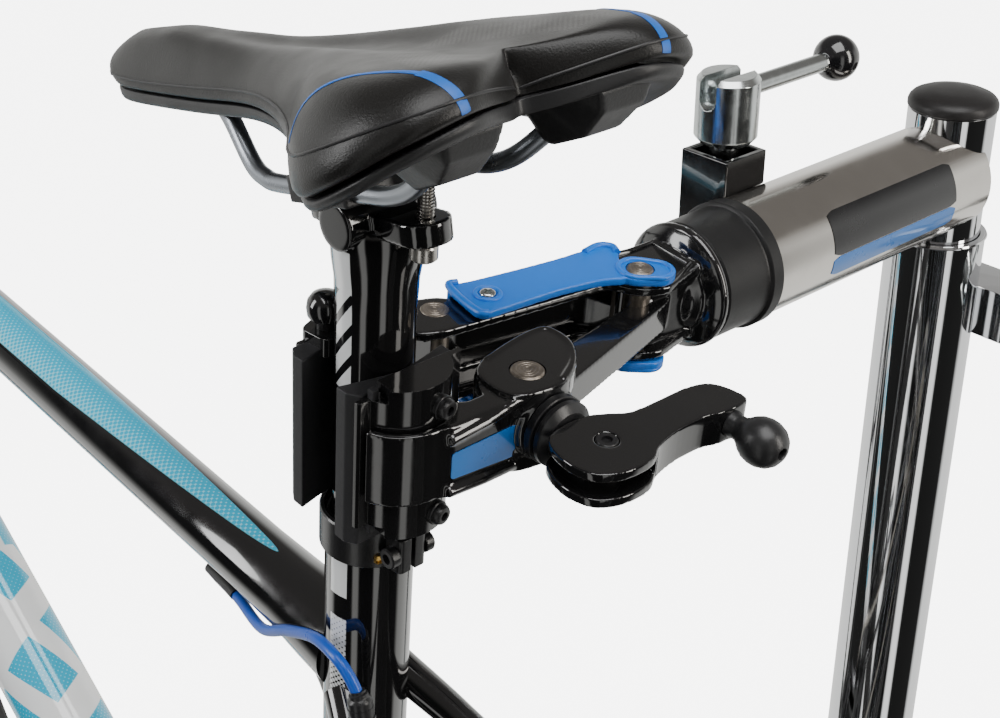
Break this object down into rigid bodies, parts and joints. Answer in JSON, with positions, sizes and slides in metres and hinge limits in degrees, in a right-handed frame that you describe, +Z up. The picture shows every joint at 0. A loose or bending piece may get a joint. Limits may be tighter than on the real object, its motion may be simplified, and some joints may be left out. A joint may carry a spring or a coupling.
{
  "type": "bicycle on repair stand",
  "caption": "Flat-bar bicycle held by its seatpost in the jaw of a one-post workshop stand, with wheels, fork, cranks, brake levers, clamp and locks that move.",
  "frame": {"origin": "on the floor under the middle of the stand's post, at the underside of the base plate", "axes": "+Z up the post; +Y out along the stand's arm towards the bicycle; +X the way the bicycle faces, which is its longest extent"},
  "size_m": [1.8926, 0.906, 1.3188],
  "materials": {
    "plate_steel": "textured powder coat",
    "chrome_steel": "polished chrome plate",
    "cap_black": "moulded satin",
    "arm_nickel": "warm grey bright nickel plate",
    "bushing_black": "moulded matt",
    "zinc_steel": "bright zinc plate",
    "ball_black": "high gloss phenolic",
    "casting_black": "gloss powder coat",
    "pin_steel": "bare turned steel",
    "lever_blue": "satin moulded",
    "pad_rubber": "moulded matt",
    "washer_black": "matt",
    "seatpost_black": "gloss black with white geometric bars",
    "clamp_zinc": "satin",
    "rail_gunmetal": "dark satin tube",
    "shell_black": "moulded satin",
    "saddle_skin": "synthetic leather with printed mesh and blue piping lines",
    "frame_black": "gloss black with cyan halftone shapes",
    "frame_white": "gloss white with cyan halftone shapes",
    "alloy_black": "black anodised",
    "fork_black": "satin black",
    "grip_rubber": "soft matt",
    "tyre_rubber": "matt with small blocks",
    "chain_steel": "oiled steel",
    "cable_blue": "glossy moulded sleeve"
  },
  "bodies": {
    "stand_base": {"base_plate": "plate_steel", "post_socket": "chrome_steel", "lower_post": "chrome_steel", "height_lug": "chrome_steel"},
    "height_screw": {"height_barrel": "zinc_steel"},
    "height_handle": {"height_lever": "zinc_steel"},
    "mast": {"upper_post": "chrome_steel", "post_cap": "cap_black", "arm_tube": "arm_nickel", "lock_lug": "arm_nickel", "arm_bushing": "bushing_black"},
    "lock_screw": {"lock_barrel": "zinc_steel"},
    "lock_handle": {"lock_lever": "zinc_steel", "lock_ball": "ball_black"},
    "clamp_head": {"clamp_body": "casting_black", "cam_pin": "pin_steel", "link_pin": "pin_steel", "far_jaw_holder": "casting_black", "far_jaw_pad": "pad_rubber", "jaw_pin": "pin_steel", "seatpost": "seatpost_black", "rail_clamp": "clamp_zinc", "saddle_rails": "rail_gunmetal", "saddle_shell": "shell_black", "saddle_cover": "saddle_skin"},
    "cam_lever": {"cam_handle": "lever_blue"},
    "near_jaw": {"jaw_arm": "casting_black"},
    "near_pad": {"near_jaw_holder": "casting_black", "near_jaw_pad": "pad_rubber"},
    "crank_screw": {"adjuster_screw": "washer_black", "crank_arm": "casting_black"},
    "crank_grip": {"crank_knob": "washer_black"},
    "bike_frame": {"seat_tube": "frame_black", "top_tube": "frame_black", "down_tube": "frame_white", "head_tube": "frame_black", "chainstay_left": "frame_black", "chainstay_right": "frame_black", "seatstay_left": "frame_black", "seatstay_right": "frame_black", "seat_collar": "alloy_black", "cable_housing": "cable_blue", "chain": "chain_steel", "rear_derailleur": "chain_steel"},
    "steering": {"fork_upper": "alloy_black", "stem": "alloy_black", "handlebar": "alloy_black", "grip_left": "grip_rubber", "grip_right": "grip_rubber"},
    "fork_sliders": {"fork_lower": "fork_black"},
    "front_wheel_body": {"front_tyre": "tyre_rubber", "front_wheel": "alloy_black"},
    "rear_wheel_body": {"rear_tyre": "tyre_rubber", "rear_wheel": "alloy_black"},
    "cranks": {"crankset": "alloy_black", "crank_left": "alloy_black"},
    "left_pedal": {"pedal_left": "alloy_black"},
    "right_pedal": {"pedal_right": "alloy_black"},
    "left_brake": {"brake_lever_left": "alloy_black"},
    "right_brake": {"brake_lever_right": "alloy_black"}
  },
  "joints": [
    {"name": "height_slide", "type": "slide", "parent": "stand_base", "child": "mast", "axis": [0, 0, 1], "range_m": [0, 0.3]},
    {"name": "height_screw_turn", "type": "hinge", "parent": "stand_base", "child": "height_screw", "pos_m": [-0.046, -0.031, 1.072], "axis": [-1, 0, 0], "range_deg": [-90, 90]},
    {"name": "height_lever_tilt", "type": "hinge", "parent": "height_screw", "child": "height_handle", "pos_m": [-0.073, -0.031, 1.072], "axis": [0, 0, -1], "range_deg": [0, 90]},
    {"name": "lock_screw_turn", "type": "hinge", "parent": "mast", "child": "lock_screw", "pos_m": [0.031, 0.14, 1.19], "axis": [0, 0, 1], "range_deg": [-90, 90]},
    {"name": "lock_lever_tilt", "type": "hinge", "parent": "lock_screw", "child": "lock_handle", "pos_m": [0.031, 0.14, 1.217], "axis": [-1, 0, 0], "range_deg": [0, 90]},
    {"name": "clamp_roll", "type": "hinge", "parent": "mast", "child": "clamp_head", "pos_m": [0, 0.2, 1.15], "axis": [0, -1, 0], "range_deg": [-5, 90]},
    {"name": "cam_lever_turn", "type": "hinge", "parent": "clamp_head", "child": "cam_lever", "pos_m": [-0.00697, 0.2378, 1.14933], "axis": [0.0953, 0, -0.9954], "range_deg": [0, 45]},
    {"name": "jaw_open", "type": "hinge", "parent": "clamp_head", "child": "near_jaw", "pos_m": [-0.03185, 0.3253, 1.14695], "axis": [-0.0953, 0, 0.9954], "range_deg": [0, 15]},
    {"name": "pad_swivel", "type": "hinge", "parent": "near_jaw", "child": "near_pad", "pos_m": [-0.01692, 0.3773, 1.14838], "axis": [-0.0953, 0, 0.9954], "range_deg": [-15, 0]},
    {"name": "crank_turn", "type": "hinge", "parent": "near_jaw", "child": "crank_screw", "pos_m": [-0.04977, 0.3253, 1.14523], "axis": [-0.9954, 0, -0.0953], "continuous": true},
    {"name": "crank_knob_spin", "type": "hinge", "parent": "crank_screw", "child": "crank_grip", "pos_m": [-0.08959, 0.2663, 1.14142], "axis": [-0.9954, 0, -0.0953], "continuous": true},
    {"name": "frame_slide", "type": "slide", "parent": "clamp_head", "child": "bike_frame", "axis": [-0.0953, 0, 0.9954], "range_m": [-0.06, 0]},
    {"name": "steering_turn", "type": "hinge", "parent": "bike_frame", "child": "steering", "pos_m": [0.64997, 0.3753, 1.06003], "axis": [-0.1736, 0, 0.9848], "range_deg": [-60, 60]},
    {"name": "fork_travel", "type": "slide", "parent": "steering", "child": "fork_sliders", "axis": [-0.1736, 0, 0.9848], "range_m": [0, 0.08], "stiffness_N_per_m": 7000},
    {"name": "front_wheel_spin", "type": "hinge", "parent": "fork_sliders", "child": "front_wheel_body", "pos_m": [0.79425, 0.3753, 0.50667], "axis": [0, 1, 0], "continuous": true},
    {"name": "rear_wheel_spin", "type": "hinge", "parent": "bike_frame", "child": "rear_wheel_body", "pos_m": [-0.36757, 0.3753, 0.73063], "axis": [0, 1, 0], "continuous": true},
    {"name": "crank_spin", "type": "hinge", "parent": "bike_frame", "child": "cranks", "pos_m": [0.05388, 0.3753, 0.58759], "axis": [0, 1, 0], "continuous": true},
    {"name": "pedal_left_spin", "type": "hinge", "parent": "cranks", "child": "left_pedal", "pos_m": [-0.11791, 0.5053, 0.62098], "axis": [0, 1, 0], "continuous": true},
    {"name": "pedal_right_spin", "type": "hinge", "parent": "cranks", "child": "right_pedal", "pos_m": [0.22566, 0.2453, 0.5542], "axis": [0, 1, 0], "continuous": true},
    {"name": "brake_left_pull", "type": "hinge", "parent": "steering", "child": "left_brake", "pos_m": [0.73184, 0.5953, 1.16585], "axis": [0.1736, 0, -0.9848], "range_deg": [0, 18], "stiffness_Nm_per_rad": 1.2, "springref_deg": -5.73},
    {"name": "brake_right_pull", "type": "hinge", "parent": "steering", "child": "right_brake", "pos_m": [0.73184, 0.1553, 1.16585], "axis": [-0.1736, 0, 0.9848], "range_deg": [0, 18], "stiffness_Nm_per_rad": 1.2, "springref_deg": -5.73}
  ],
  "couplings": [
    {"joint": "jaw_open", "follows": "cam_lever_turn", "ratio": 0.33333},
    {"joint": "pad_swivel", "follows": "cam_lever_turn", "ratio": -0.33333},
    {"joint": "crank_spin", "follows": "rear_wheel_spin", "ratio": 0.5}
  ]
}
